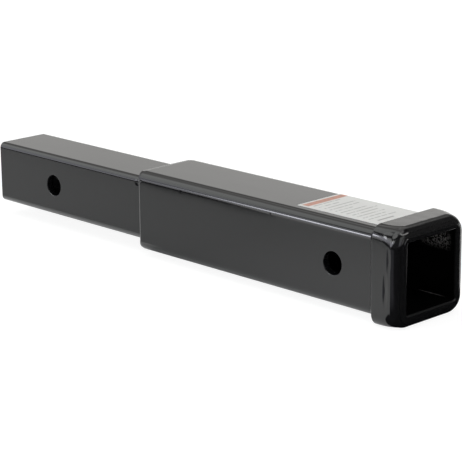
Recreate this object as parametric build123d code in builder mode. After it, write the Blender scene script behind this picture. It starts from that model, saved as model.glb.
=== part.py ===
import os
from math import atan2, cos, degrees, sin

from build123d import *

os.makedirs("parts", exist_ok=True)

# Hitch receiver extender: a square shank tube welded into a larger square sleeve tube with a collar at its mouth.
# X runs along the tubes towards the mouth, Y runs along the pin holes, Z is up.
# The origin is the centre of the shank's pin hole. All sizes are in millimetres.

# Shank tube: a 2 inch square tube with a 1/4 inch wall
shank_size = 50.8
shank_wall = 6.35
shank_corner = 4.5
shank_bore_corner = 1.5
shank_exposed = 187.3
shank_insertion = 76.2
shank_end_bevel = 0.8

# Sleeve tube: takes a 2 inch shank with a little clearance and is 2 1/2 inches square outside
shank_clearance = 0.3
sleeve_wall = 6.05
sleeve_corner = 7.5
sleeve_bore_corner = 1.0
sleeve_length = 269.9
mouth_edge_round = 2.0

# Collar: a square ring round the mouth with a large rounded nose
collar_wall = 4.75
collar_length = 24.5
collar_corner = 11.5
collar_nose_round = 7.5
collar_back_bevel = 0.6

# Pin holes: one through the shank, one through the sleeve
pin_hole_diameter = 17.5
shank_pin_from_end = 72.0
receiver_pin_from_mouth = 65.0
pin_hole_rim_round = 0.5

# Welds
rear_weld_leg = 7.5
rear_weld_crown = 0.35
rear_weld_lap = 1.5
rear_weld_toe = 0.5
collar_weld_leg = 5.0
collar_weld_setback = 0.3
collar_weld_toe = 0.4
mouth_groove_depth = 2.2
mouth_weld_recess = 0.2

# Label: a sticker on the sleeve's top, wrapped over the corner on the far side from the viewer
label_length = 80.5
label_width = 50.8
label_thickness = 0.2
label_gap_to_weld = 1.0
label_wrap = 7.0

# Sizes that follow from the ones above
shank_length = shank_exposed + shank_insertion
shank_bore = shank_size - 2 * shank_wall
sleeve_bore = shank_size + 2 * shank_clearance
sleeve_size = sleeve_bore + 2 * sleeve_wall
collar_size = sleeve_size + 2 * collar_wall
pin_hole_radius = pin_hole_diameter / 2

# Stations along X
shank_end_x = -shank_pin_from_end
sleeve_back_x = shank_end_x + shank_exposed
mouth_x = sleeve_back_x + sleeve_length
collar_back_x = mouth_x - collar_length
receiver_pin_x = mouth_x - receiver_pin_from_mouth
mouth_groove_x = mouth_x - mouth_groove_depth
collar_weld_x = collar_back_x - collar_weld_leg
label_back_x = collar_weld_x - label_gap_to_weld - label_length


def station(x):
    """The plane across the tubes at this place along them."""
    return Plane.YZ.offset(x)


def pin_axis(x):
    """The plane whose normal is the pin hole's axis at this place along the tubes."""
    return Plane(origin=(x, 0, 0), x_dir=(1, 0, 0), z_dir=(0, -1, 0))


def end_edges(solid, end):
    """The outer edges of a solid's end face: end is 0 for the back and -1 for the mouth."""
    return solid.faces().sort_by(Axis.X)[end].outer_wire().edges()


def pin_hole_rims(tube):
    """The rims of the pin hole in the tube's two outer side walls."""
    sides = tube.faces().filter_by(Axis.Y).sort_by(Axis.Y)
    return sides[0].inner_wires().edges() + sides[-1].inner_wires().edges()


# Shank tube, open at both ends
with BuildPart() as shank_tube:
    with BuildSketch(station(shank_end_x)):
        RectangleRounded(shank_size, shank_size, shank_corner)
        RectangleRounded(shank_bore, shank_bore, shank_bore_corner, mode=Mode.SUBTRACT)
    extrude(amount=shank_length)
    chamfer(end_edges(shank_tube, 0), shank_end_bevel)
    with Locations(pin_axis(0)):
        Hole(pin_hole_radius)
    fillet(pin_hole_rims(shank_tube), pin_hole_rim_round)

# Sleeve tube, with its mouth eased inside and bevelled outside as one half of the weld groove
with BuildPart() as sleeve_tube:
    with BuildSketch(station(sleeve_back_x)):
        RectangleRounded(sleeve_size, sleeve_size, sleeve_corner)
        RectangleRounded(sleeve_bore, sleeve_bore, sleeve_bore_corner, mode=Mode.SUBTRACT)
    extrude(amount=sleeve_length)
    fillet(sleeve_tube.faces().sort_by(Axis.X)[-1].inner_wires().edges(), mouth_edge_round)
    chamfer(end_edges(sleeve_tube, -1), mouth_groove_depth)
    with Locations(pin_axis(receiver_pin_x)):
        Hole(pin_hole_radius)
    fillet(pin_hole_rims(sleeve_tube), pin_hole_rim_round)

# Outer form of the collar as a full block, which the collar and the mouth weld are both cut from
with BuildPart() as collar_form:
    with BuildSketch(station(collar_back_x)):
        RectangleRounded(collar_size, collar_size, collar_corner)
    extrude(amount=collar_length)
    fillet(end_edges(collar_form, -1), collar_nose_round)
    chamfer(end_edges(collar_form, 0), collar_back_bevel)

# Collar round the sleeve's mouth, bevelled inside its nose as the other half of the weld groove
with BuildPart() as mouth_collar:
    add(collar_form.part)
    with BuildSketch(station(collar_back_x)):
        RectangleRounded(sleeve_size, sleeve_size, sleeve_corner)
    extrude(amount=collar_length, mode=Mode.SUBTRACT)
    with BuildSketch(station(mouth_groove_x)):
        RectangleRounded(sleeve_size, sleeve_size, sleeve_corner)
    extrude(amount=mouth_groove_depth, taper=-45, mode=Mode.SUBTRACT)

# Mouth weld: fills the groove to just under the line of the nose
with BuildPart() as mouth_weld:
    with BuildSketch(station(mouth_groove_x)):
        RectangleRounded(sleeve_size, sleeve_size, sleeve_corner)
    extrude(amount=mouth_groove_depth, taper=-45)
    with BuildSketch(station(mouth_groove_x)):
        RectangleRounded(sleeve_size, sleeve_size, sleeve_corner)
    extrude(amount=mouth_groove_depth, taper=45, mode=Mode.SUBTRACT)
    add(collar_form.part.moved(Location((-mouth_weld_recess, 0, 0))), mode=Mode.INTERSECT)

# Fillet weld round the shank at the sleeve's back end, feathered a little way over the sleeve's edge
rear_weld_size = sleeve_size + 2 * rear_weld_crown
rear_weld_corner = sleeve_corner + rear_weld_crown
rear_weld_rise = (rear_weld_size - shank_size) / 2
rear_weld_feather = degrees(atan2(rear_weld_crown, rear_weld_lap))
with BuildPart() as sleeve_rear_weld:
    with BuildSketch(station(sleeve_back_x - rear_weld_leg)):
        RectangleRounded(rear_weld_size, rear_weld_size, rear_weld_corner)
    extrude(amount=rear_weld_leg)
    chamfer(end_edges(sleeve_rear_weld, 0), rear_weld_rise - rear_weld_toe)
    with BuildSketch(station(sleeve_back_x - rear_weld_leg)):
        RectangleRounded(shank_size, shank_size, shank_corner)
    extrude(amount=rear_weld_leg, mode=Mode.SUBTRACT)
    with BuildSketch(station(sleeve_back_x)):
        RectangleRounded(rear_weld_size, rear_weld_size, rear_weld_corner)
    extrude(amount=rear_weld_lap, taper=rear_weld_feather)
    with BuildSketch(station(sleeve_back_x)):
        RectangleRounded(sleeve_size, sleeve_size, sleeve_corner)
    extrude(amount=rear_weld_lap, mode=Mode.SUBTRACT)

# Fillet weld round the sleeve behind the collar
collar_weld_rise = collar_wall - collar_back_bevel - collar_weld_setback
with BuildPart() as collar_rear_weld:
    with BuildSketch(station(collar_weld_x)):
        RectangleRounded(
            sleeve_size + 2 * collar_weld_rise,
            sleeve_size + 2 * collar_weld_rise,
            sleeve_corner + collar_weld_rise,
        )
    extrude(amount=collar_weld_leg)
    chamfer(end_edges(collar_rear_weld, 0), collar_weld_rise - collar_weld_toe)
    with BuildSketch(station(collar_weld_x)):
        RectangleRounded(sleeve_size, sleeve_size, sleeve_corner)
    extrude(amount=collar_weld_leg, mode=Mode.SUBTRACT)

# Label: a thin skin over the sleeve's outline, kept from its near edge to a line across the far corner
corner_centre = sleeve_size / 2 - sleeve_corner
label_near_y = corner_centre + label_wrap - label_width
label_wrap_angle = label_wrap / sleeve_corner
label_edge_y = corner_centre + sleeve_size * sin(label_wrap_angle)
label_edge_z = corner_centre + sleeve_size * cos(label_wrap_angle)
with BuildPart() as label:
    with BuildSketch(station(label_back_x)):
        RectangleRounded(
            sleeve_size + 2 * label_thickness,
            sleeve_size + 2 * label_thickness,
            sleeve_corner + label_thickness,
        )
        RectangleRounded(sleeve_size, sleeve_size, sleeve_corner, mode=Mode.SUBTRACT)
        with BuildLine():
            Polyline(
                (label_near_y, corner_centre),
                (corner_centre, corner_centre),
                (label_edge_y, label_edge_z),
                (label_near_y, label_edge_z),
                close=True,
            )
        make_face(mode=Mode.INTERSECT)
    extrude(amount=label_length)

shank_tube.part.label = "shank_tube"
sleeve_tube.part.label = "sleeve_tube"
mouth_collar.part.label = "mouth_collar"
mouth_weld.part.label = "mouth_weld"
sleeve_rear_weld.part.label = "sleeve_rear_weld"
collar_rear_weld.part.label = "collar_rear_weld"
label.part.label = "label"

export_step(shank_tube.part, "parts/shank_tube.step")
export_step(sleeve_tube.part, "parts/sleeve_tube.step")
export_step(mouth_collar.part, "parts/mouth_collar.step")
export_step(mouth_weld.part, "parts/mouth_weld.step")
export_step(sleeve_rear_weld.part, "parts/sleeve_rear_weld.step")
export_step(collar_rear_weld.part, "parts/collar_rear_weld.step")
export_step(label.part, "parts/label.step")
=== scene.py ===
from math import cos, pi, radians, sin

import bmesh
import bpy
from mathutils import Matrix, Vector


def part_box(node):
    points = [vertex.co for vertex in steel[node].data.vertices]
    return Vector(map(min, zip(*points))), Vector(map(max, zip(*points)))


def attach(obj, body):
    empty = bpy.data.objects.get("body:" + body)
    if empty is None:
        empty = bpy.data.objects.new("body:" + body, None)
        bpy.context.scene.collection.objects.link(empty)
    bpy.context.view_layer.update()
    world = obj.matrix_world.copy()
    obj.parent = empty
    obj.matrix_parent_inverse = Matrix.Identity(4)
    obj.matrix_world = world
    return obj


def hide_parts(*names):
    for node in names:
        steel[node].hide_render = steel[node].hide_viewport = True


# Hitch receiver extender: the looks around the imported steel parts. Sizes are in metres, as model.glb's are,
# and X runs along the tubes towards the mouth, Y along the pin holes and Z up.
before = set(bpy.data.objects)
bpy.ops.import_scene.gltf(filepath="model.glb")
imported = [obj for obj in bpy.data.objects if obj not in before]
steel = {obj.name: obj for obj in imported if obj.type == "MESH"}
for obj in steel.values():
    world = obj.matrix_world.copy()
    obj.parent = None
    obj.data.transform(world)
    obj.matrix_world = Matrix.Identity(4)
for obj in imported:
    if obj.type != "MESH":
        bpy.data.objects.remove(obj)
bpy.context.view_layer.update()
MM = 0.001

# Places that the imported parts give
shank_low, shank_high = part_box("shank_tube")
sleeve_low, sleeve_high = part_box("sleeve_tube")
collar_low, collar_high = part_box("mouth_collar")
rear_weld_low, rear_weld_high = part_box("sleeve_rear_weld")
collar_weld_low, collar_weld_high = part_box("collar_rear_weld")
label_low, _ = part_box("label")
floor_z = collar_low.z


class Field:
    """One output of a node, as a value: arithmetic on it adds Math nodes to its tree."""

    def __init__(self, tree, socket):
        self.tree = tree
        self.socket = socket

    def math(self, operation, *values, clamp=False):
        settings = {"operation": operation, "use_clamp": clamp}
        return self.tree.node("ShaderNodeMath", settings, dict(enumerate(values)))

    def __add__(self, other):
        return self.math("ADD", self, other)

    def __radd__(self, other):
        return self.math("ADD", other, self)

    def __sub__(self, other):
        return self.math("SUBTRACT", self, other)

    def __rsub__(self, other):
        return self.math("SUBTRACT", other, self)

    def __mul__(self, other):
        return self.math("MULTIPLY", self, other)

    def __rmul__(self, other):
        return self.math("MULTIPLY", other, self)

    def __truediv__(self, other):
        return self.math("DIVIDE", self, other)

    def __abs__(self):
        return self.math("ABSOLUTE", self)

    def clamped(self):
        return self.math("ADD", self, 0.0, clamp=True)

    def at_most(self, other):
        return self.math("MINIMUM", self, other)

    def floored(self):
        return self.math("FLOOR", self)

    def above(self, edge, blur):
        """0 below the edge and 1 above it, over this much blur."""
        return ((self - (edge - blur / 2)) / blur).clamped()

    def between(self, low, high, blur):
        """1 between two edges and 0 outside them."""
        return self.above(low, blur) * (1 - self.above(high, blur))


class Tree:
    """A node tree that is filled from Python."""

    def __init__(self, nodes, links):
        self.nodes = nodes
        self.links = links
        nodes.clear()

    def node(self, kind, settings=None, sockets=None, output=None):
        """Adds a node: its settings first, then the value or link of each socket, by name or by place."""
        made = self.nodes.new(kind)
        for name, value in (settings or {}).items():
            setattr(made, name, value)
        for key, value in (sockets or {}).items():
            shown = [s for s in made.inputs if s.enabled]
            socket = shown[key] if isinstance(key, int) else next(s for s in shown if s.name == key)
            if isinstance(value, Field):
                self.links.new(value.socket, socket)
            else:
                socket.default_value = value
        shown = [s for s in made.outputs if s.enabled]
        if not shown:
            return made
        return Field(self, next(s for s in shown if s.name == output) if output else shown[0])

    def scaled(self, vector, factor):
        """A vector times a number or times another vector."""
        settings = {"operation": "MULTIPLY"}
        by = (factor,) * 3 if isinstance(factor, (int, float)) else factor
        return self.node("ShaderNodeVectorMath", settings, {0: vector, 1: by}, "Vector")

    def parts(self, vector):
        """The X, Y and Z of a vector."""
        return [self.node("ShaderNodeSeparateXYZ", None, {0: vector}, name) for name in "XYZ"]

    def noise(self, vector, scale, detail=2.0, roughness=0.5):
        """Smooth noise from 0 to 1."""
        sockets = {"Vector": vector, "Scale": scale, "Detail": detail, "Roughness": roughness}
        return self.node("ShaderNodeTexNoise", None, sockets)

    def blend(self, factor, first, second):
        """The first colour where the factor is 0 and the second where it is 1."""
        sockets = {"Factor": factor, "A": first, "B": second}
        return self.node("ShaderNodeMix", {"data_type": "RGBA"}, sockets)


class Finish(Tree):
    """A material's tree, with the place on the object in millimetres."""

    def __init__(self, name):
        self.material = bpy.data.materials.new(name)
        self.material.use_nodes = True
        super().__init__(self.material.node_tree.nodes, self.material.node_tree.links)
        self.place = self.scaled(self.node("ShaderNodeTexCoord", None, None, "Object"), 1 / MM)

    def bump(self, height, distance, under=None):
        """The normal of a relief whose height runs from 0 to 1 over this distance."""
        sockets = {"Height": height, "Distance": distance, "Strength": 1.0}
        if under is not None:
            sockets["Normal"] = under
        return self.node("ShaderNodeBump", None, sockets)

    def done(self, shader):
        self.node("ShaderNodeOutputMaterial", None, {"Surface": shader})
        return self.material


class Shape(Tree):
    """A Geometry Nodes tree with named inputs. The mesh goes in first."""

    def __init__(self, name, inputs):
        self.group = bpy.data.node_groups.new(name, "GeometryNodeTree")
        super().__init__(self.group.nodes, self.group.links)
        face = self.group.interface
        face.new_socket("Geometry", in_out="OUTPUT", socket_type="NodeSocketGeometry")
        face.new_socket("Geometry", in_out="INPUT", socket_type="NodeSocketGeometry")
        self.names = {}
        for title, kind in inputs.items():
            self.names[title] = face.new_socket(title, in_out="INPUT", socket_type=kind).identifier
        self.mesh = self.given("Geometry")

    def given(self, name):
        """A group input as a value."""
        return self.node("NodeGroupInput", None, None, name)

    def stored(self, name):
        """A number that each point of the mesh carries."""
        return self.node("GeometryNodeInputNamedAttribute", {"data_type": "FLOAT"}, {"Name": name}, "Attribute")

    def finished(self, mesh):
        """Ends the tree in plain geometry with its material."""
        smooth = self.node("GeometryNodeSetShadeSmooth", None, {"Geometry": mesh})
        plain = self.node("GeometryNodeRealizeInstances", None, {"Geometry": smooth})
        coated = self.node("GeometryNodeSetMaterial", None, {"Geometry": plain, "Material": self.given("Coat")})
        self.node("NodeGroupOutput", None, {"Geometry": coated})

    def apply(self, piece, values):
        """Runs the tree on a piece and leaves it a plain mesh."""
        modifier = piece.modifiers.new(self.group.name, "NODES")
        modifier.node_group = self.group
        for name, value in values.items():
            modifier[self.names[name]] = value
        shaped = piece.evaluated_get(bpy.context.evaluated_depsgraph_get())
        mesh = bpy.data.meshes.new_from_object(shaped)
        piece.modifiers.clear()
        piece.data = mesh


# Finishes. Places, radii and depths in them are in millimetres, and the heights of reliefs in metres

WHITE = (1.0, 1.0, 1.0, 1.0)
COAT_BLACK = (0.0055, 0.0055, 0.0060, 1.0)
BORE_PAINTED_SHADE = (0.0012, 0.0012, 0.0012, 1.0)
BORE_PAINTED_LIGHT = (0.16, 0.155, 0.15, 1.0)
COAT_IOR = 1.5
DULL_IOR = 1.06
DULL_ROUGHNESS = 0.6
PEEL_HEIGHT = 0.000005
TUBE_WAVES = 0.00005
COLLAR_WAVES = 0.00012
WELD_WAVES = 0.00006

# Half the width of the field of each bore that is dull and painted darker as shade, which runs a little past
# the bore's walls
SHANK_BORE = 20.0
SLEEVE_BORE = 25.95


def coat_relief(skin, wave_height, under):
    """The powder coat's orange peel over the slow waves of the steel under it."""
    peel = skin.noise(skin.place, 0.55, 2.0, 0.45)
    along = skin.scaled(skin.place, (0.25, 1.0, 1.0))
    waves = skin.noise(along, 0.055, 1.0, 0.4)
    return skin.bump(peel, PEEL_HEIGHT, skin.bump(waves, wave_height, under))


def pits(skin, spots, stretch=1.0):
    """Small dents at these places, each with its radius and depth, this much taller than wide."""
    dent = 0.0
    here = skin.scaled(skin.place, (1.0, 1.0, 1 / stretch))
    for (x, y, z), radius, depth in spots:
        ends = {0: here, 1: (x, y, z / stretch)}
        far = skin.node("ShaderNodeVectorMath", {"operation": "DISTANCE"}, ends, "Value")
        dent = (1 - (far / radius).at_most(1.0)) * depth + dent
    return skin.bump(1 - dent, MM)


def lacquer(skin, shade, rough, ior, normal):
    """A plain surface that is not metal."""
    sockets = {"Base Color": shade, "Roughness": rough, "IOR": ior, "Normal": normal}
    return skin.node("ShaderNodeBsdfPrincipled", None, sockets)


def tube_coat(name, bore, dents):
    """Gloss black powder coat on drawn tube. Inside the bore it is dull and painted darker as shade. Near the
    mouth it has a speckled patch of painted light on the far wall and a painted highlight along the lower far
    corner.
    """
    skin = Finish(name)
    x, y, z = skin.parts(skin.place)
    # Painted shade: the bore's walls get a darker colour than the coat outside
    inside = (1 - abs(y).above(bore, 0.4)) * (1 - abs(z).above(bore, 0.4))
    cloud = skin.noise(skin.place, 0.03, 3.0, 0.55)
    normal = coat_relief(skin, TUBE_WAVES, pits(skin, dents))
    coat = lacquer(skin, COAT_BLACK, 0.07 + 0.05 * cloud, COAT_IOR, normal)
    # Painted light near the mouth: a speckled patch of light high on the far wall and a highlight along the
    # lower far corner, both in a light grey
    speck = skin.noise(skin.place, 0.75, 2.0, 0.7).above(0.53, 0.16)
    lit_patch = x.between(354, 378, 6) * z.between(11, 22, 5) * y.above(bore - 1, 0.5)
    corner_highlight = x.between(355, 373, 8) * (1 - z.above(0.8 - bore, 0.4)) * y.above(bore - 0.8, 0.4)
    painted_light = (speck * lit_patch + 1.4 * corner_highlight * skin.noise(skin.place, 0.5, 2.0, 0.6)).clamped()
    painted_bore = lacquer(skin, skin.blend(painted_light, BORE_PAINTED_SHADE, BORE_PAINTED_LIGHT), DULL_ROUGHNESS, DULL_IOR, normal)
    return skin.done(skin.node("ShaderNodeMixShader", None, {0: inside, 1: coat, 2: painted_bore}))


def plain_coat(name, wave_height, dents, stretch=1.0):
    """Gloss black powder coat without a bore, over marks that the grinder left."""
    skin = Finish(name)
    cloud = skin.noise(skin.place, 0.06, 3.0, 0.55)
    normal = coat_relief(skin, wave_height, pits(skin, dents, stretch))
    return skin.done(lacquer(skin, COAT_BLACK, 0.07 + 0.06 * cloud, COAT_IOR, normal))


# The label's film: the two shades that each colour runs between, and where its band and rows of bars lie
FILM_WHITES = (0.565, 0.562, 0.551, 1.0), (0.62, 0.617, 0.606, 1.0)
FILM_ORANGES = (0.46, 0.18, 0.115, 1.0), (0.285, 0.138, 0.10, 1.0)
FILM_GREY = (0.13, 0.13, 0.13, 1.0)
FILM_IOR = 1.45
FILM_WAVES = 0.00008
BAND_START = 2.2
BAND_END = 8.6
ROW_PITCH = 5.3


def label_film(name):
    """White vinyl film with a plain orange band and plain grey bars across it."""
    skin = Finish(name)
    x, y, _ = skin.parts(skin.place)
    along = x - label_low.x / MM
    across = y - label_low.y / MM
    cloud = skin.noise(skin.place, 0.05, 2.0, 0.5)
    white = skin.blend(cloud, *FILM_WHITES)
    ink = 0.8 + 0.2 * skin.noise(skin.place, 0.6, 1.0, 0.5)
    band = along.between(BAND_START, BAND_END, 0.5) * across.above(2.6, 0.5) * ink
    row = (along - BAND_END) / ROW_PITCH
    number = row.floored()
    length = skin.node("ShaderNodeTexWhiteNoise", {"noise_dimensions": "1D"}, {"W": number}, "Value")
    rows = (row - number).between(0.36, 0.62, 0.06) * along.between(9.0, 66.0, 0.2)
    gaps = skin.noise(skin.scaled(skin.place, (0.19, 1.0, 0.0)), 0.42, 1.0, 0.5).above(0.42, 0.1)
    bars = rows * gaps * across.above(5.5, 0.4) * (1 - (across - 16 * length).above(24.0, 0.4))
    block = along.between(69.5, 71.5, 0.3) * across.between(8.0, 25.0, 0.4)
    printed = skin.blend(bars * 0.55 + block * 0.7, white, FILM_GREY)
    mottle = skin.noise(skin.scaled(skin.place, (0.5, 1.0, 1.0)), 0.35, 2.0, 0.6).above(0.55, 0.25)
    orange = skin.blend(mottle, *FILM_ORANGES)
    shade = skin.blend(band, printed, orange)
    normal = skin.bump(skin.noise(skin.place, 0.12, 2.0, 0.5), FILM_WAVES)
    return skin.done(lacquer(skin, shade, 0.38 + 0.1 * cloud, FILM_IOR, normal))


# Marks in the coat, each with its place, radius and depth
shank_dents = (
    ((105.0, -25.3, 20.4), 2.6, 0.16),
    ((40.0, -22.3, 25.0), 1.2, 0.05),
)
sleeve_dents = (
    ((162.8, -31.7, 24.2), 1.5, 0.09),
    ((258.0, -31.7, 24.6), 1.2, 0.08),
    ((116.8, -31.6, 24.8), 1.3, 0.20),
)
collar_marks = (
    ((373.8, -36.4, -8.0), 2.4, 0.34),
    ((376.6, -36.4, 14.0), 2.0, 0.2),
    ((374.8, 36.4, 4.0), 2.4, 0.2),
)
weld_dents = (
    ((112.0, -29.5, 21.8), 1.8, 0.35),
    ((111.0, -20.0, 28.6), 1.2, 0.06),
    ((359.4, -34.0, 23.0), 1.2, 0.15),
)
COLLAR_MARK_STRETCH = 6.0

shank_skin = tube_coat("gloss_black_shank_coat", SHANK_BORE, shank_dents)
sleeve_skin = tube_coat("gloss_black_sleeve_coat", SLEEVE_BORE, sleeve_dents)
collar_skin = plain_coat("gloss_black_collar_coat", COLLAR_WAVES, collar_marks, COLLAR_MARK_STRETCH)
weld_skin = plain_coat("gloss_black_weld_coat", WELD_WAVES, weld_dents)
film_skin = label_film("white_label_film")

for node, skin in (
    ("shank_tube", shank_skin),
    ("sleeve_tube", sleeve_skin),
    ("mouth_collar", collar_skin),
    ("mouth_weld", collar_skin),
    ("sleeve_rear_weld", weld_skin),
    ("collar_rear_weld", weld_skin),
    ("label", film_skin),
):
    for place in steel[node].material_slots:
        place.material = skin


# Rings round the tubes: the collar and the welds are each a closed section carried round a rounded square

SHANK_CORNER = 0.0045
SLEEVE_CORNER = 0.0075
SIDE_STEPS = 170
CORNER_STEPS = 40
FACE_STEP = 0.0004


def rounded_square(size, corner):
    """Points round a rounded square, as (y, z), with the same count on each corner and side at any size."""
    flat = size / 2 - corner
    points = []
    for quarter in range(4):
        turned = Matrix.Rotation(quarter * pi / 2, 2)
        for step in range(CORNER_STEPS):
            angle = pi / 2 * step / CORNER_STEPS
            points.append(turned @ Vector((flat + corner * cos(angle), flat + corner * sin(angle))))
        for step in range(SIDE_STEPS):
            points.append(turned @ Vector((flat - 2 * flat * step / SIDE_STEPS, flat + corner)))
    return points


def upness(i):
    """1 for a point on a rounded square's top and bottom, 0 on its sides, and between them on its corners."""
    quarter, place = divmod(i, CORNER_STEPS + SIDE_STEPS)
    turned = min(place / CORNER_STEPS, 1.0)
    return turned if quarter % 2 == 0 else 1 - turned


def ring(name, section, stretch=None):
    """A closed ring and its length. Its section is a loop of (x, size, corner, place across the face).

    The stretch says where each x of the section goes on the ring's top and bottom.
    """
    outlines = [rounded_square(size, corner) for x, size, corner, place in section]
    widest = outlines[max(range(len(section)), key=lambda i: section[i][1])]
    runs = [0.0]
    for a, b in zip(widest, widest[1:] + widest[:1]):
        runs.append(runs[-1] + (b - a).length)
    points, run, across = [], [], []
    for i in range(len(widest)):
        for (x, size, corner, place), outline in zip(section, outlines):
            if stretch:
                x += (stretch(x) - x) * upness(i)
            points.append((x, *outline[i]))
            run.append(runs[i] / runs[-1])
            across.append(place)
    rings, sides = len(widest), len(section)
    faces = []
    for i in range(rings):
        for j in range(sides):
            k, m = (i + 1) % rings, (j + 1) % sides
            faces.append((i * sides + j, i * sides + m, k * sides + m, k * sides + j))
    mesh = bpy.data.meshes.new(name)
    mesh.from_pydata(points, [], faces)
    shell = bmesh.new()
    shell.from_mesh(mesh)
    bmesh.ops.recalc_face_normals(shell, faces=shell.faces)
    shell.to_mesh(mesh)
    shell.free()
    for label, values in (("run", run), ("across", across)):
        mesh.attributes.new(label, "FLOAT", "POINT").data.foreach_set("value", values)
    piece = bpy.data.objects.new(name, mesh)
    bpy.context.scene.collection.objects.link(piece)
    return piece, runs[-1]


def dressed(piece, node):
    """Puts a finished piece in a node's place."""
    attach(piece, "root")
    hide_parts(node)


# Collar and mouth weld: tight corners behind that open out towards a round nose, and faces that wave a little

COLLAR_BACK_CORNER = 0.0092
COLLAR_FRONT_CORNER = 0.0145
NOSE_ROUND = 0.0075
NOSE_INNER_CORNER = 0.005
BACK_BEVEL = 0.0006
GROOVE_DEPTH = 0.0022
GROOVE_OUTER_ANGLE = 58.9
GROOVE_INNER_ANGLE = 85.6
MOUTH_WELD_RECESS = 0.0002
NOSE_DEGREES_PER_STEP = 2
COLLAR_STEP = 0.0005
COLLAR_GRINDING = {"Depth": 0.00022, "Scale": 90.0}
MOUTH_WELD_GRINDING = {"Depth": 0.00025, "Scale": 160.0}

collar_size = collar_high.z - collar_low.z
sleeve_size = sleeve_high.z - sleeve_low.z
mouth_x = sleeve_high.x
nose_x = mouth_x - NOSE_ROUND
on_sleeve = (sleeve_size, SLEEVE_CORNER, 0.0)
groove_bottom = (mouth_x - GROOVE_DEPTH, *on_sleeve)


def nose_arc(start, end, recess=0.0):
    """Points of the nose's section between two angles in degrees, a little under its line if it is recessed."""
    steps = round((end - start) / NOSE_DEGREES_PER_STEP)
    arc = []
    for step in range(steps + 1):
        angle = radians(start + (end - start) * step / steps)
        radius = NOSE_ROUND - recess
        corner = COLLAR_FRONT_CORNER - (COLLAR_FRONT_CORNER - NOSE_INNER_CORNER) * (1 - cos(angle))
        size = collar_size - 2 * (NOSE_ROUND - radius * cos(angle))
        arc.append((nose_x + radius * sin(angle), size, corner, 1.0))
    return arc


def collar_side():
    """Points of the collar's section from its back bevel to its nose."""
    start = collar_low.x + BACK_BEVEL
    steps = round((nose_x - start) / COLLAR_STEP)
    side = []
    for step in range(steps):
        share = step / steps
        corner = COLLAR_BACK_CORNER + (COLLAR_FRONT_CORNER - COLLAR_BACK_CORNER) * (share * share * share)
        side.append((start + (nose_x - start) * share, collar_size, corner, 0.3 + 0.7 * share))
    return side


wave_tree = Shape(
    "hand_ground_waves",
    {"Depth": "NodeSocketFloat", "Scale": "NodeSocketFloat", "Coat": "NodeSocketMaterial"},
)
wave_noise = wave_tree.noise(wave_tree.node("GeometryNodeInputPosition"), wave_tree.given("Scale"), 2.0, 0.5)
wave_drop = (wave_noise - 1) * wave_tree.stored("across") * wave_tree.given("Depth")
wave_offset = wave_tree.scaled(wave_tree.node("GeometryNodeInputNormal"), wave_drop)
wave_tree.finished(
    wave_tree.node("GeometryNodeSetPosition", None, {"Geometry": wave_tree.mesh, "Offset": wave_offset})
)

bevel_size = collar_size - 2 * BACK_BEVEL
collar_section = [
    (collar_low.x, *on_sleeve),
    (collar_low.x, bevel_size - COLLAR_STEP, COLLAR_BACK_CORNER - BACK_BEVEL, 0.0),
    (collar_low.x, bevel_size, COLLAR_BACK_CORNER - BACK_BEVEL, 0.0),
]
collar_section += collar_side() + nose_arc(0.0, GROOVE_OUTER_ANGLE) + [groove_bottom]
collar_body, _ = ring("collar_body", collar_section)
wave_tree.apply(collar_body, {**COLLAR_GRINDING, "Coat": collar_skin})
dressed(collar_body, "mouth_collar")

weld_band_section = nose_arc(GROOVE_OUTER_ANGLE, GROOVE_INNER_ANGLE, MOUTH_WELD_RECESS) + [groove_bottom]
weld_band, _ = ring("mouth_weld_band", weld_band_section)
wave_tree.apply(weld_band, {**MOUTH_WELD_GRINDING, "Coat": collar_skin})
dressed(weld_band, "mouth_weld")


# Weld beads: rippled along their run

RIPPLE_PITCH = 0.0021
RIPPLE_HEIGHT = 0.00014
RIPPLE_BOW = 0.9
BEND_ROUND = 0.0003
CREST_BACK = 0.0014
CREST_STRETCH = 3.2


def rounded_face(corners):
    """A weld's face from toe to toe: short steps along a line through these corners, its inner ones rounded."""
    bends = [Vector(corner) for corner in corners]
    line = [bends[0]]
    for before, corner, after in zip(bends, bends[1:], bends[2:]):
        start = corner + (before - corner).normalized() * min(BEND_ROUND, (before - corner).length * 0.48)
        end = corner + (after - corner).normalized() * min(BEND_ROUND, (after - corner).length * 0.48)
        line += [start.lerp(corner, t / 6).lerp(corner.lerp(end, t / 6), t / 6) for t in range(7)]
    line.append(bends[-1])
    face = []
    for a, b in zip(line, line[1:]):
        steps = max(1, round((b - a).length / FACE_STEP))
        face += [a.lerp(b, step / steps) for step in range(steps)]
    return face + [line[-1]]


def weld_section(face, back, inner, outer):
    """A weld's section between two outlines, each a (size, corner).

    Its face and its hidden back are given as (x, rise over the inner outline).
    """
    (inner_size, inner_corner), (outer_size, outer_corner) = inner, outer
    top = (outer_size - inner_size) / 2
    loop = [(x, rise, i / (len(face) - 1)) for i, (x, rise) in enumerate(face)]
    loop += [(x, rise, 0.0) for x, rise in back]
    section = []
    for x, rise, place in loop:
        corner = inner_corner + (outer_corner - inner_corner) * rise / top
        section.append((x, inner_size + 2 * rise, corner, place))
    return section


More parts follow.
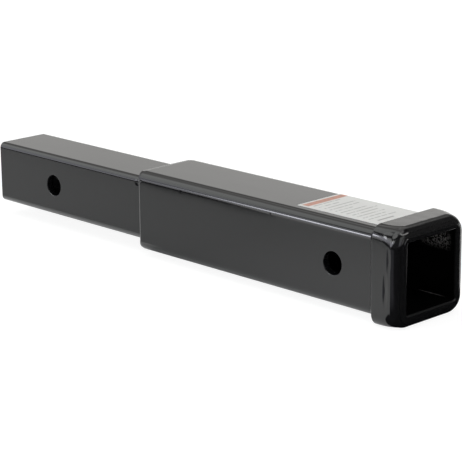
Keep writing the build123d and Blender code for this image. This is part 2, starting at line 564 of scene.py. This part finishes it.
ripple_tree = Shape(
    "weld_ripples",
    {
        "Ripples": "NodeSocketFloat",
        "Height": "NodeSocketFloat",
        "Bow": "NodeSocketFloat",
        "Seed": "NodeSocketFloat",
        "Coat": "NodeSocketMaterial",
    },
)
across = ripple_tree.stored("across")
bell = across * (1 - across) * 4
here = ripple_tree.node("GeometryNodeInputPosition")
lump = ripple_tree.node(
    "ShaderNodeTexNoise",
    {"noise_dimensions": "4D"},
    {"Vector": here, "W": ripple_tree.given("Seed"), "Scale": 240.0, "Detail": 2.0},
)
phase = ripple_tree.stored("run") * ripple_tree.given("Ripples") + ripple_tree.given("Bow") * bell + 0.8 * lump
wave = abs(ripple_tree.node("ShaderNodeMath", {"operation": "SINE"}, {0: phase * pi}))
lift = (wave - 0.75 + 0.8 * (lump - 0.5)) * bell * ripple_tree.given("Height")
offset = ripple_tree.scaled(ripple_tree.node("GeometryNodeInputNormal"), lift)
ripple_tree.finished(
    ripple_tree.node("GeometryNodeSetPosition", None, {"Geometry": ripple_tree.mesh, "Offset": offset})
)


def weld_bead(name, node, corners, back, inner, outer, seed, stretch=None):
    """A rippled bead in a weld's place. Its corners and back are (x, rise over the inner outline)."""
    piece, run = ring(name, weld_section(rounded_face(corners), back, inner, outer), stretch)
    ripples = float(round(run / RIPPLE_PITCH))
    values = {"Ripples": ripples, "Height": RIPPLE_HEIGHT, "Bow": RIPPLE_BOW, "Seed": seed, "Coat": weld_skin}
    ripple_tree.apply(piece, values)
    dressed(piece, node)


shank_size = shank_high.z - shank_low.z
rear_size = rear_weld_high.z - rear_weld_low.z
collar_weld_size = collar_weld_high.z - collar_weld_low.z
sleeve_rise = (sleeve_size - shank_size) / 2


def flatter_crest(x):
    """Where a point of the rear bead goes on its top, whose crest slopes more gently and further back."""
    front = sleeve_low.x
    back = front - CREST_BACK
    if x >= front:
        return x
    if x >= back:
        return front - (front - x) * CREST_STRETCH
    low = rear_weld_low.x
    return low + (x - low) / (back - low) * (front - (front - back) * CREST_STRETCH - low)


weld_bead(
    "rear_weld_bead",
    "sleeve_rear_weld",
    [
        (rear_weld_low.x + 0.2 * MM, 0.0),
        (rear_weld_low.x + 0.4 * MM, 0.4 * MM),
        (sleeve_low.x - CREST_BACK, sleeve_rise - 0.48 * MM),
        (sleeve_low.x - 0.2 * MM, sleeve_rise - 0.07 * MM),
        (sleeve_low.x + 0.6 * MM, sleeve_rise - 0.05 * MM),
        (sleeve_low.x + 0.9 * MM, sleeve_rise - 0.5 * MM),
    ],
    [(sleeve_low.x + 0.9 * MM, 0.0)],
    (shank_size, SHANK_CORNER),
    (rear_size, SLEEVE_CORNER + (rear_size - sleeve_size) / 2),
    seed=3.0,
    stretch=flatter_crest,
)
weld_bead(
    "collar_weld_bead",
    "collar_rear_weld",
    [
        (collar_weld_low.x + 0.1 * MM, 0.0),
        (collar_weld_low.x + 0.3 * MM, 0.3 * MM),
        (collar_weld_high.x, (collar_weld_size - sleeve_size) / 2 - 0.2 * MM),
    ],
    [(collar_weld_high.x, 0.0)],
    (sleeve_size, SLEEVE_CORNER),
    (collar_weld_size, SLEEVE_CORNER + (collar_weld_size - sleeve_size) / 2),
    seed=8.0,
)


# Studio

def board(name, corners, material):
    """A flat piece of the studio."""
    mesh = bpy.data.meshes.new(name)
    mesh.from_pydata(corners, [], [tuple(range(len(corners)))])
    mesh.materials.append(material)
    made = bpy.data.objects.new(name, mesh)
    bpy.context.scene.collection.objects.link(made)
    return made


# Floor: plain white. Its shading keeps the soft shadow, and its glow lifts it to white for the camera and is
# weaker in the gloss, but for brighter fields in front and under the shank
FLOOR_PAINT = (0.79, 0.79, 0.79, 1.0)
FLOOR_PAINT_SEEN = (0.18, 0.18, 0.18, 1.0)
FLOOR_GLOW_SEEN = 0.9
FLOOR_HALF = 6.0
floor_paint = Finish("studio_floor")
to_camera = floor_paint.node("ShaderNodeLightPath", None, None, "Is Camera Ray")
to_gloss = floor_paint.node("ShaderNodeLightPath", None, None, "Is Glossy Ray")
to_glass = floor_paint.node("ShaderNodeLightPath", None, None, "Is Transmission Ray")
paint = floor_paint.blend(to_camera, FLOOR_PAINT, FLOOR_PAINT_SEEN)
matt = floor_paint.node("ShaderNodeBsdfDiffuse", None, {"Color": paint})
floor_x, floor_y, _ = floor_paint.parts(floor_paint.place)
front_glow = (1 - floor_y.above(-260, 30)) * 0.9
weld_glow = floor_x.between(-220, 110, 20) * floor_y.between(-54, -20, 5) * 0.7
gloss_glow = 0.04 + 0.35 * floor_x.above(230, 180) + front_glow + weld_glow
glow_strength = FLOOR_GLOW_SEEN * to_camera + gloss_glow * (to_gloss + to_glass)
glow = floor_paint.node("ShaderNodeEmission", None, {"Color": WHITE, "Strength": glow_strength})
floor_skin = floor_paint.done(floor_paint.node("ShaderNodeAddShader", None, {0: matt, 1: glow}))
floor_corners = [(x * FLOOR_HALF, y * FLOOR_HALF, floor_z) for x, y in ((-1, -1), (1, -1), (1, 1), (-1, 1))]
board("studio_floor", floor_corners, floor_skin)

# Cloths on the floor that only gloss shows: dark ones beside and under the mouth, and black ones in front. The
# sheet under the mouth is painted shade, standing in for the shadow under the collar. The cloth beside the
# mouth carries a lighter field that puts painted light in the collar's reflection
CLOTH_DARK = (0.015, 0.015, 0.015, 1.0)
CLOTH_LIT_FIELD = (0.30, 0.29, 0.33, 1.0)
CLOTH_BLACK = (0.012, 0.012, 0.012, 1.0)
CLOTH_LIFT = 0.2 * MM
cloth = Finish("dark_studio_cloth")
cloth_x, cloth_y, _ = cloth.parts(cloth.place)
# Painted light: a lighter field in the cloth, which the collar's nose reflects as a lighter patch
lit_field = cloth_x.between(150, 400, 40) * cloth_y.between(-300, -95, 30)
cloth_shade = cloth.blend(lit_field, CLOTH_DARK, CLOTH_LIT_FIELD)
cloth_skin = cloth.done(cloth.node("ShaderNodeBsdfDiffuse", None, {"Color": cloth_shade}))
black_cloth = Finish("black_studio_cloth")
black_skin = black_cloth.done(black_cloth.node("ShaderNodeBsdfDiffuse", None, {"Color": CLOTH_BLACK}))
cloth_z = floor_z + CLOTH_LIFT
for name, material, corners in (
    (
        "dark_cloth_right",
        cloth_skin,
        [(-2.372, -4.0), (4.0, -4.0), (4.0, 3.9), (1.63, 3.9), (0.392, 0.07), (0.388, -0.028), (0.358, -0.071)],
    ),
    # Painted shade: a dark sheet under the collar that gloss shows in place of the shadow there
    (
        "painted_shade_under_mouth",
        cloth_skin,
        [(0.358, -0.071), (0.394, -0.028), (0.394, 0.09), (0.375, 0.09), (0.375, -0.028)],
    ),
    (
        "black_cloth_front",
        black_skin,
        [(-4.0, -0.85), (-0.62, -0.85), (0.11, -0.19), (-4.0, -0.19)],
    ),
    (
        "black_cloth_beside",
        black_skin,
        [(0.19, -0.205), (0.235, -0.205), (0.235, -0.26), (0.16, -0.42), (0.1, -0.42)],
    ),
):
    dark = board(name, [(x, y, cloth_z) for x, y in corners], material)
    dark.visible_camera = False
    dark.visible_diffuse = False
    dark.visible_shadow = False

# World: white to the camera. To everything else it is a studio, laid out by bearing and height in degrees: a
# soft wall at the front left with lamps and dark frames in it, a white backdrop low behind, a dim ceiling over
# that which brightens high up, and a nearly dark side on the right.
# Lamps and frames are given by the low edge, high edge and blur of their bearing and of their height. The last
# number is a lamp's brightness
FRONT_LOW_TINT = (0.97, 0.98, 1.07, 1.0)
FRONT_HIGH_TINT = (0.98, 1.01, 0.99, 1.0)
BACK_TINT = (1.01, 1.0, 0.975, 1.0)
LAMPS = (
    ((-134.5, -126.5, 3), (7, 13.5, 2.5), 13.5),
    ((-133, -126.5, 3), (-6, 8, 5), 1.3),
    ((-118, -110, 3), (17, 31, 4), 8.0),
)
DARK_FRAMES = (
    ((-139.5, -130, 3), (25, 34, 4)),
    ((-130.5, -121, 3), (19, 39, 4)),
)
scene = bpy.context.scene
world = bpy.data.worlds.new("studio_world")
world.use_nodes = True
scene.world = world
air = Tree(world.node_tree.nodes, world.node_tree.links)
to_camera = air.node("ShaderNodeLightPath", None, None, "Is Camera Ray")
dx, dy, dz = air.parts(air.node("ShaderNodeTexCoord", None, None, "Generated"))
bearing = air.node("ShaderNodeMath", {"operation": "ARCTAN2"}, {0: dy, 1: dx}) * (180 / pi)
height = air.node("ShaderNodeMath", {"operation": "ARCSINE"}, {0: dz}) * (180 / pi)
left = 1 - bearing.above(-125, 5) * (1 - bearing.above(100, 20))
front = (-1 * dy).above(0.03, 0.2)
dimmed = bearing.between(-142, -120, 6) * height.between(13, 17.8, 2)
dimmed += (1 - bearing.above(-151, 10)) * (1 - height.above(23, 6))
wall = front * height.above(-8, 6) * (2.0 - 1.2 * dimmed)
backdrop = (1 - front) * (1 - height.above(18.5, 3)) * (1.08 - 0.22 * bearing.above(134, 12))
high_back = 0.6 * height.above(32, 25) * bearing.above(155, 40)
high_back += 0.7 * height.above(38, 6) * (1 - bearing.above(155, 10))
ceiling = (1 - front) * height.above(18.5, 3) * (0.3 + high_back)
lamp_patch = 0.0
for bearings, heights, brightness in LAMPS:
    lamp_patch += bearing.between(*bearings) * height.between(*heights) * brightness

# Two panels beside the lamps and a band overhead, all with edges that run askew
beside_lamp = bearing.between(-126, -92, 4)
low_slant = beside_lamp * (height - 0.9 * bearing).above(105.6, 5)
low_slant *= 1 - (height - 0.6 * bearing).above(93.4, 4)
high_slant = beside_lamp * (height - 0.56 * bearing).above(104.9, 4)
high_slant *= 1 - height.above(68, 6)
overhead_band = bearing.between(-50, 48, 6) * (height + 0.45 * bearing).between(54, 65, 5)
lamp_patch += low_slant * 3.0
lamp_patch += high_slant * 2.3
lamp_patch += overhead_band * 4.2

dark_frame = 0.0
for bearings, heights in DARK_FRAMES:
    dark_frame += bearing.between(*bearings) * height.between(*heights)
right_glow = 0.03 + 0.09 * height.between(4, 45, 12) + 1.5 * height.above(72, 6)
right_side = bearing.between(-126, 100, 20) * right_glow
right_side += bearing.between(-38, 8, 6) * height.between(3, 50, 6)
studio = left * (wall * (1 - 0.95 * dark_frame) + backdrop + ceiling) + lamp_patch + right_side
strength = to_camera + (1 - to_camera) * studio
front_tint = air.blend(height.above(24, 12), FRONT_LOW_TINT, FRONT_HIGH_TINT)
tint = air.blend(front, BACK_TINT, front_tint)
seen = air.blend(to_camera, tint, WHITE)
sky = air.node("ShaderNodeBackground", None, {"Color": seen, "Strength": strength})
air.node("ShaderNodeOutputWorld", None, {"Surface": sky})

# Softbox overhead, which only matt surfaces show
SOFTBOX_PLACE = Vector((0.25, 0.0, 1.3))
SOFTBOX_TARGET = Vector((0.15, 0.0, 0.0))
SOFTBOX_SIZE = 1.2
SOFTBOX_WATTS = 2.5
light = bpy.data.lights.new("overhead_softbox", "AREA")
light.shape = "RECTANGLE"
light.size = SOFTBOX_SIZE
light.size_y = SOFTBOX_SIZE
light.energy = SOFTBOX_WATTS
softbox = bpy.data.objects.new("overhead_softbox", light)
scene.collection.objects.link(softbox)
aim = (SOFTBOX_PLACE - SOFTBOX_TARGET).to_track_quat("Z", "Y").to_matrix()
softbox.matrix_world = Matrix.Translation(SOFTBOX_PLACE) @ aim.to_4x4()
softbox.visible_camera = False
softbox.visible_glossy = False

# Camera, at the photograph's place and angle
FRAME_PX = 462
FOCAL_PX = 1838.0
SENSOR_WIDTH = 36.0
CAMERA_PLACE = Vector((1.16595, -0.94824, 0.36991))
yaw, pitch, roll = radians(45.98), radians(15.51), radians(-0.57)
forward = Vector((-sin(yaw) * cos(pitch), cos(yaw) * cos(pitch), -sin(pitch)))
level = Vector((cos(yaw), sin(yaw), 0.0))
down = forward.cross(level)
right = level * cos(roll) - down * sin(roll)
up = -(level * sin(roll) + down * cos(roll))
view = bpy.data.cameras.new("camera")
view.sensor_fit = "HORIZONTAL"
view.sensor_width = SENSOR_WIDTH
view.lens = FOCAL_PX / FRAME_PX * SENSOR_WIDTH
view.clip_start = 0.01
camera = bpy.data.objects.new("camera", view)
scene.collection.objects.link(camera)
turn = Matrix((right, up, -forward)).transposed()
camera.matrix_world = Matrix.Translation(CAMERA_PLACE) @ turn.to_4x4()
scene.camera = camera
scene.view_settings.view_transform = "Standard"
